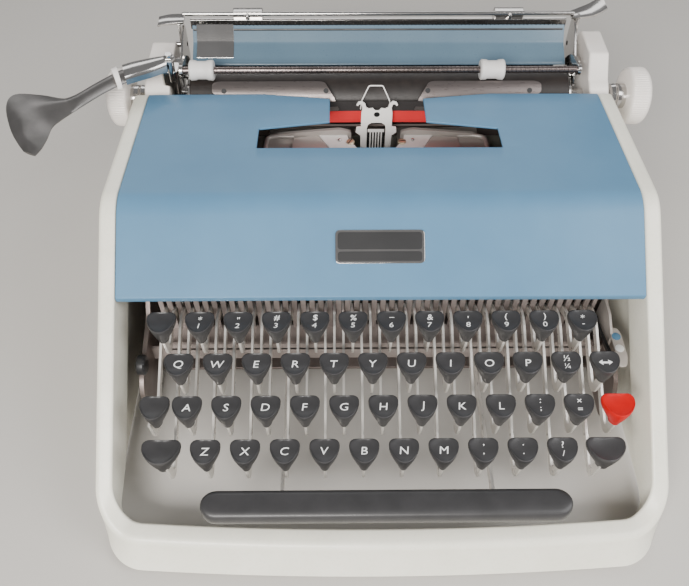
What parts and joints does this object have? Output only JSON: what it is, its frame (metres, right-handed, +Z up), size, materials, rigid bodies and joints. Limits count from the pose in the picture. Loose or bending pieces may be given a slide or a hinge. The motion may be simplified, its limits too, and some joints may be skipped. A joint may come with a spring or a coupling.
{
  "type": "portable typewriter",
  "caption": "Portable manual typewriter with a cream case, grey-blue lifting cover, hinged keys, sliding carriage with platen, and a return lever.",
  "frame": {"origin": "middle of the underside of the machine's bounding box, on the table", "axes": "+X to the typist's right, +Y to the rear, +Z up"},
  "size_m": [0.37, 0.306, 0.133],
  "materials": {
    "cream_shell": "satin cream paint",
    "blue_enamel": "satin grey-blue paint",
    "frame_steel": "dull plated steel",
    "carriage_enamel": "satin paint and bright metal",
    "platen_rubber": "matte black rubber",
    "chrome": "bright plated",
    "bail_steel": "plated steel",
    "typebar_steel": "plated steel",
    "selector_steel": "dark steel",
    "key_plastic": "dark grey plastic",
    "red_key_plastic": "red plastic"
  },
  "bodies": {
    "machine": {"case": "cream_shell", "frame": "frame_steel"},
    "carriage": {"carriage": "carriage_enamel"},
    "platen": {"platen": "platen_rubber"},
    "return_lever": {"return_lever": "chrome"},
    "paper_bail": {"paper_bail": "bail_steel"},
    "top_cover": {"top_cover": "blue_enamel"},
    "shift_keys": {"shift_keys": "key_plastic"},
    "type_basket": {"type_basket": "typebar_steel"},
    "paper_release_lever": {"paper_release_lever": "chrome"},
    "carriage_release_lever": {"carriage_release_lever": "chrome"},
    "ribbon_vibrator": {"ribbon_vibrator": "chrome"},
    "ribbon_selector": {"ribbon_selector": "selector_steel"},
    "space_bar": {"space_bar": "key_plastic"},
    "backspace_key": {"backspace_key": "key_plastic"},
    "tab_key": {"tab_key": "red_key_plastic"},
    "margin_release_key": {"margin_release_key": "key_plastic"},
    "key_1": {"key_1": "key_plastic"},
    "key_2": {"key_2": "key_plastic"},
    "key_3": {"key_3": "key_plastic"},
    "key_4": {"key_4": "key_plastic"},
    "key_5": {"key_5": "key_plastic"},
    "key_6": {"key_6": "key_plastic"},
    "key_7": {"key_7": "key_plastic"},
    "key_8": {"key_8": "key_plastic"},
    "key_9": {"key_9": "key_plastic"},
    "key_0": {"key_0": "key_plastic"},
    "key_minus": {"key_minus": "key_plastic"},
    "key_q": {"key_q": "key_plastic"},
    "key_w": {"key_w": "key_plastic"},
    "key_e": {"key_e": "key_plastic"},
    "key_r": {"key_r": "key_plastic"},
    "key_t": {"key_t": "key_plastic"},
    "key_y": {"key_y": "key_plastic"},
    "key_u": {"key_u": "key_plastic"},
    "key_i": {"key_i": "key_plastic"},
    "key_o": {"key_o": "key_plastic"},
    "key_p": {"key_p": "key_plastic"},
    "key_fraction": {"key_fraction": "key_plastic"},
    "key_a": {"key_a": "key_plastic"},
    "key_s": {"key_s": "key_plastic"},
    "key_d": {"key_d": "key_plastic"},
    "key_f": {"key_f": "key_plastic"},
    "key_g": {"key_g": "key_plastic"},
    "key_h": {"key_h": "key_plastic"},
    "key_j": {"key_j": "key_plastic"},
    "key_k": {"key_k": "key_plastic"},
    "key_l": {"key_l": "key_plastic"},
    "key_semicolon": {"key_semicolon": "key_plastic"},
    "key_equals": {"key_equals": "key_plastic"},
    "key_z": {"key_z": "key_plastic"},
    "key_x": {"key_x": "key_plastic"},
    "key_c": {"key_c": "key_plastic"},
    "key_v": {"key_v": "key_plastic"},
    "key_b": {"key_b": "key_plastic"},
    "key_n": {"key_n": "key_plastic"},
    "key_m": {"key_m": "key_plastic"},
    "key_comma": {"key_comma": "key_plastic"},
    "key_period": {"key_period": "key_plastic"},
    "key_slash": {"key_slash": "key_plastic"}
  },
  "joints": [
    {"name": "carriage_slide", "type": "slide", "parent": "machine", "child": "carriage", "axis": [1, 0, 0], "range_m": [-0.115, 0.115]},
    {"name": "platen_turn", "type": "hinge", "parent": "carriage", "child": "platen", "pos_m": [0.02, 0.10845, 0.092], "axis": [1, 0, 0], "continuous": true},
    {"name": "return_lever_swing", "type": "hinge", "parent": "carriage", "child": "return_lever", "pos_m": [-0.1025, 0.10295, 0.118], "axis": [0, 0, 1], "range_deg": [0, 38], "stiffness_Nm_per_rad": 0.12, "springref_deg": -14.32},
    {"name": "paper_bail_lift", "type": "hinge", "parent": "carriage", "child": "paper_bail", "pos_m": [0.02, 0.12695, 0.104], "axis": [-1, 0, 0], "range_deg": [0, 60]},
    {"name": "top_cover_open", "type": "hinge", "parent": "machine", "child": "top_cover", "pos_m": [0.016, -0.04255, 0.0851], "axis": [1, 0, 0], "range_deg": [0, 75]},
    {"name": "shift_press", "type": "hinge", "parent": "machine", "child": "shift_keys", "pos_m": [0.016, 0.06795, 0.0185], "axis": [1, 0, 0], "range_deg": [0, 3.57], "stiffness_Nm_per_rad": 2, "springref_deg": -17.19},
    {"name": "type_basket_drop", "type": "slide", "parent": "machine", "child": "type_basket", "axis": [0, 0, -1], "range_m": [0, 0.0065]},
    {"name": "paper_release_tip", "type": "hinge", "parent": "carriage", "child": "paper_release_lever", "pos_m": [-0.102, 0.13895, 0.088], "axis": [1, 0, 0], "range_deg": [0, 18]},
    {"name": "carriage_release_tip", "type": "hinge", "parent": "carriage", "child": "carriage_release_lever", "pos_m": [0.142, 0.13895, 0.088], "axis": [1, 0, 0], "range_deg": [0, 14], "stiffness_Nm_per_rad": 0.1, "springref_deg": -17.19},
    {"name": "vibrator_lift", "type": "slide", "parent": "machine", "child": "ribbon_vibrator", "axis": [0, 0, 1], "range_m": [0, 0.009]},
    {"name": "ribbon_selector_tip", "type": "hinge", "parent": "machine", "child": "ribbon_selector", "pos_m": [0.136, -0.02905, 0.045], "axis": [1, 0, 0], "range_deg": [-8, 8]},
    {"name": "space_bar_press", "type": "hinge", "parent": "machine", "child": "space_bar", "pos_m": [0.0168, 0.06795, 0.0185], "axis": [1, 0, 0], "range_deg": [0, 2.44], "stiffness_Nm_per_rad": 0.5, "springref_deg": -17.19},
    {"name": "backspace_key_press", "type": "hinge", "parent": "machine", "child": "backspace_key", "pos_m": [0.12582, 0.06795, 0.0185], "axis": [1, 0, 0], "range_deg": [0, 4.53], "stiffness_Nm_per_rad": 0.12, "springref_deg": -17.19},
    {"name": "tab_key_press", "type": "hinge", "parent": "machine", "child": "tab_key", "pos_m": [0.13059, 0.06795, 0.0185], "axis": [1, 0, 0], "range_deg": [0, 3.99], "stiffness_Nm_per_rad": 0.12, "springref_deg": -17.19},
    {"name": "margin_release_key_press", "type": "hinge", "parent": "machine", "child": "margin_release_key", "pos_m": [-0.09325, 0.06795, 0.0185], "axis": [1, 0, 0], "range_deg": [0, 5.23], "stiffness_Nm_per_rad": 0.12, "springref_deg": -17.19},
    {"name": "key_1_press", "type": "hinge", "parent": "machine", "child": "key_1", "pos_m": [-0.0742, 0.06795, 0.0185], "axis": [1, 0, 0], "range_deg": [0, 5.23], "stiffness_Nm_per_rad": 0.12, "springref_deg": -17.19},
    {"name": "key_2_press", "type": "hinge", "parent": "machine", "child": "key_2", "pos_m": [-0.05515, 0.06795, 0.0185], "axis": [1, 0, 0], "range_deg": [0, 5.23], "stiffness_Nm_per_rad": 0.12, "springref_deg": -17.19},
    {"name": "key_3_press", "type": "hinge", "parent": "machine", "child": "key_3", "pos_m": [-0.0361, 0.06795, 0.0185], "axis": [1, 0, 0], "range_deg": [0, 5.23], "stiffness_Nm_per_rad": 0.12, "springref_deg": -17.19},
    {"name": "key_4_press", "type": "hinge", "parent": "machine", "child": "key_4", "pos_m": [-0.01705, 0.06795, 0.0185], "axis": [1, 0, 0], "range_deg": [0, 5.23], "stiffness_Nm_per_rad": 0.12, "springref_deg": -17.19},
    {"name": "key_5_press", "type": "hinge", "parent": "machine", "child": "key_5", "pos_m": [0.002, 0.06795, 0.0185], "axis": [1, 0, 0], "range_deg": [0, 5.23], "stiffness_Nm_per_rad": 0.12, "springref_deg": -17.19},
    {"name": "key_6_press", "type": "hinge", "parent": "machine", "child": "key_6", "pos_m": [0.02105, 0.06795, 0.0185], "axis": [1, 0, 0], "range_deg": [0, 5.23], "stiffness_Nm_per_rad": 0.12, "springref_deg": -17.19},
    {"name": "key_7_press", "type": "hinge", "parent": "machine", "child": "key_7", "pos_m": [0.0401, 0.06795, 0.0185], "axis": [1, 0, 0], "range_deg": [0, 5.23], "stiffness_Nm_per_rad": 0.12, "springref_deg": -17.19},
    {"name": "key_8_press", "type": "hinge", "parent": "machine", "child": "key_8", "pos_m": [0.05915, 0.06795, 0.0185], "axis": [1, 0, 0], "range_deg": [0, 5.23], "stiffness_Nm_per_rad": 0.12, "springref_deg": -17.19},
    {"name": "key_9_press", "type": "hinge", "parent": "machine", "child": "key_9", "pos_m": [0.0782, 0.06795, 0.0185], "axis": [1, 0, 0], "range_deg": [0, 5.23], "stiffness_Nm_per_rad": 0.12, "springref_deg": -17.19},
    {"name": "key_0_press", "type": "hinge", "parent": "machine", "child": "key_0", "pos_m": [0.09725, 0.06795, 0.0185], "axis": [1, 0, 0], "range_deg": [0, 5.23], "stiffness_Nm_per_rad": 0.12, "springref_deg": -17.19},
    {"name": "key_minus_press", "type": "hinge", "parent": "machine", "child": "key_minus", "pos_m": [0.1163, 0.06795, 0.0185], "axis": [1, 0, 0], "range_deg": [0, 5.23], "stiffness_Nm_per_rad": 0.12, "springref_deg": -17.19},
    {"name": "key_q_press", "type": "hinge", "parent": "machine", "child": "key_q", "pos_m": [-0.08372, 0.06795, 0.0185], "axis": [1, 0, 0], "range_deg": [0, 4.53], "stiffness_Nm_per_rad": 0.12, "springref_deg": -17.19},
    {"name": "key_w_press", "type": "hinge", "parent": "machine", "child": "key_w", "pos_m": [-0.06467, 0.06795, 0.0185], "axis": [1, 0, 0], "range_deg": [0, 4.53], "stiffness_Nm_per_rad": 0.12, "springref_deg": -17.19},
    {"name": "key_e_press", "type": "hinge", "parent": "machine", "child": "key_e", "pos_m": [-0.04562, 0.06795, 0.0185], "axis": [1, 0, 0], "range_deg": [0, 4.53], "stiffness_Nm_per_rad": 0.12, "springref_deg": -17.19},
    {"name": "key_r_press", "type": "hinge", "parent": "machine", "child": "key_r", "pos_m": [-0.02658, 0.06795, 0.0185], "axis": [1, 0, 0], "range_deg": [0, 4.53], "stiffness_Nm_per_rad": 0.12, "springref_deg": -17.19},
    {"name": "key_t_press", "type": "hinge", "parent": "machine", "child": "key_t", "pos_m": [-0.00752, 0.06795, 0.0185], "axis": [1, 0, 0], "range_deg": [0, 4.53], "stiffness_Nm_per_rad": 0.12, "springref_deg": -17.19},
    {"name": "key_y_press", "type": "hinge", "parent": "machine", "child": "key_y", "pos_m": [0.01153, 0.06795, 0.0185], "axis": [1, 0, 0], "range_deg": [0, 4.53], "stiffness_Nm_per_rad": 0.12, "springref_deg": -17.19},
    {"name": "key_u_press", "type": "hinge", "parent": "machine", "child": "key_u", "pos_m": [0.03058, 0.06795, 0.0185], "axis": [1, 0, 0], "range_deg": [0, 4.53], "stiffness_Nm_per_rad": 0.12, "springref_deg": -17.19},
    {"name": "key_i_press", "type": "hinge", "parent": "machine", "child": "key_i", "pos_m": [0.04963, 0.06795, 0.0185], "axis": [1, 0, 0], "range_deg": [0, 4.53], "stiffness_Nm_per_rad": 0.12, "springref_deg": -17.19},
    {"name": "key_o_press", "type": "hinge", "parent": "machine", "child": "key_o", "pos_m": [0.06867, 0.06795, 0.0185], "axis": [1, 0, 0], "range_deg": [0, 4.53], "stiffness_Nm_per_rad": 0.12, "springref_deg": -17.19},
    {"name": "key_p_press", "type": "hinge", "parent": "machine", "child": "key_p", "pos_m": [0.08772, 0.06795, 0.0185], "axis": [1, 0, 0], "range_deg": [0, 4.53], "stiffness_Nm_per_rad": 0.12, "springref_deg": -17.19},
    {"name": "key_fraction_press", "type": "hinge", "parent": "machine", "child": "key_fraction", "pos_m": [0.10677, 0.06795, 0.0185], "axis": [1, 0, 0], "range_deg": [0, 4.53], "stiffness_Nm_per_rad": 0.12, "springref_deg": -17.19},
    {"name": "key_a_press", "type": "hinge", "parent": "machine", "child": "key_a", "pos_m": [-0.07896, 0.06795, 0.0185], "axis": [1, 0, 0], "range_deg": [0, 3.99], "stiffness_Nm_per_rad": 0.12, "springref_deg": -17.19},
    {"name": "key_s_press", "type": "hinge", "parent": "machine", "child": "key_s", "pos_m": [-0.05991, 0.06795, 0.0185], "axis": [1, 0, 0], "range_deg": [0, 3.99], "stiffness_Nm_per_rad": 0.12, "springref_deg": -17.19},
    {"name": "key_d_press", "type": "hinge", "parent": "machine", "child": "key_d", "pos_m": [-0.04086, 0.06795, 0.0185], "axis": [1, 0, 0], "range_deg": [0, 3.99], "stiffness_Nm_per_rad": 0.12, "springref_deg": -17.19},
    {"name": "key_f_press", "type": "hinge", "parent": "machine", "child": "key_f", "pos_m": [-0.02181, 0.06795, 0.0185], "axis": [1, 0, 0], "range_deg": [0, 3.99], "stiffness_Nm_per_rad": 0.12, "springref_deg": -17.19},
    {"name": "key_g_press", "type": "hinge", "parent": "machine", "child": "key_g", "pos_m": [-0.00276, 0.06795, 0.0185], "axis": [1, 0, 0], "range_deg": [0, 3.99], "stiffness_Nm_per_rad": 0.12, "springref_deg": -17.19},
    {"name": "key_h_press", "type": "hinge", "parent": "machine", "child": "key_h", "pos_m": [0.01629, 0.06795, 0.0185], "axis": [1, 0, 0], "range_deg": [0, 3.99], "stiffness_Nm_per_rad": 0.12, "springref_deg": -17.19},
    {"name": "key_j_press", "type": "hinge", "parent": "machine", "child": "key_j", "pos_m": [0.03534, 0.06795, 0.0185], "axis": [1, 0, 0], "range_deg": [0, 3.99], "stiffness_Nm_per_rad": 0.12, "springref_deg": -17.19},
    {"name": "key_k_press", "type": "hinge", "parent": "machine", "child": "key_k", "pos_m": [0.05439, 0.06795, 0.0185], "axis": [1, 0, 0], "range_deg": [0, 3.99], "stiffness_Nm_per_rad": 0.12, "springref_deg": -17.19},
    {"name": "key_l_press", "type": "hinge", "parent": "machine", "child": "key_l", "pos_m": [0.07344, 0.06795, 0.0185], "axis": [1, 0, 0], "range_deg": [0, 3.99], "stiffness_Nm_per_rad": 0.12, "springref_deg": -17.19},
    {"name": "key_semicolon_press", "type": "hinge", "parent": "machine", "child": "key_semicolon", "pos_m": [0.09249, 0.06795, 0.0185], "axis": [1, 0, 0], "range_deg": [0, 3.99], "stiffness_Nm_per_rad": 0.12, "springref_deg": -17.19},
    {"name": "key_equals_press", "type": "hinge", "parent": "machine", "child": "key_equals", "pos_m": [0.11154, 0.06795, 0.0185], "axis": [1, 0, 0], "range_deg": [0, 3.99], "stiffness_Nm_per_rad": 0.12, "springref_deg": -17.19},
    {"name": "key_z_press", "type": "hinge", "parent": "machine", "child": "key_z", "pos_m": [-0.06944, 0.06795, 0.0185], "axis": [1, 0, 0], "range_deg": [0, 3.57], "stiffness_Nm_per_rad": 0.12, "springref_deg": -17.19},
    {"name": "key_x_press", "type": "hinge", "parent": "machine", "child": "key_x", "pos_m": [-0.05039, 0.06795, 0.0185], "axis": [1, 0, 0], "range_deg": [0, 3.57], "stiffness_Nm_per_rad": 0.12, "springref_deg": -17.19},
    {"name": "key_c_press", "type": "hinge", "parent": "machine", "child": "key_c", "pos_m": [-0.03134, 0.06795, 0.0185], "axis": [1, 0, 0], "range_deg": [0, 3.57], "stiffness_Nm_per_rad": 0.12, "springref_deg": -17.19},
    {"name": "key_v_press", "type": "hinge", "parent": "machine", "child": "key_v", "pos_m": [-0.01229, 0.06795, 0.0185], "axis": [1, 0, 0], "range_deg": [0, 3.57], "stiffness_Nm_per_rad": 0.12, "springref_deg": -17.19},
    {"name": "key_b_press", "type": "hinge", "parent": "machine", "child": "key_b", "pos_m": [0.00676, 0.06795, 0.0185], "axis": [1, 0, 0], "range_deg": [0, 3.57], "stiffness_Nm_per_rad": 0.12, "springref_deg": -17.19},
    {"name": "key_n_press", "type": "hinge", "parent": "machine", "child": "key_n", "pos_m": [0.02581, 0.06795, 0.0185], "axis": [1, 0, 0], "range_deg": [0, 3.57], "stiffness_Nm_per_rad": 0.12, "springref_deg": -17.19},
    {"name": "key_m_press", "type": "hinge", "parent": "machine", "child": "key_m", "pos_m": [0.04486, 0.06795, 0.0185], "axis": [1, 0, 0], "range_deg": [0, 3.57], "stiffness_Nm_per_rad": 0.12, "springref_deg": -17.19},
    {"name": "key_comma_press", "type": "hinge", "parent": "machine", "child": "key_comma", "pos_m": [0.06391, 0.06795, 0.0185], "axis": [1, 0, 0], "range_deg": [0, 3.57], "stiffness_Nm_per_rad": 0.12, "springref_deg": -17.19},
    {"name": "key_period_press", "type": "hinge", "parent": "machine", "child": "key_period", "pos_m": [0.08296, 0.06795, 0.0185], "axis": [1, 0, 0], "range_deg": [0, 3.57], "stiffness_Nm_per_rad": 0.12, "springref_deg": -17.19},
    {"name": "key_slash_press", "type": "hinge", "parent": "machine", "child": "key_slash", "pos_m": [0.10201, 0.06795, 0.0185], "axis": [1, 0, 0], "range_deg": [0, 3.57], "stiffness_Nm_per_rad": 0.12, "springref_deg": -17.19}
  ],
  "couplings": [
    {"joint": "type_basket_drop", "follows": "shift_press", "m_per_rad": 0.1038}
  ]
}
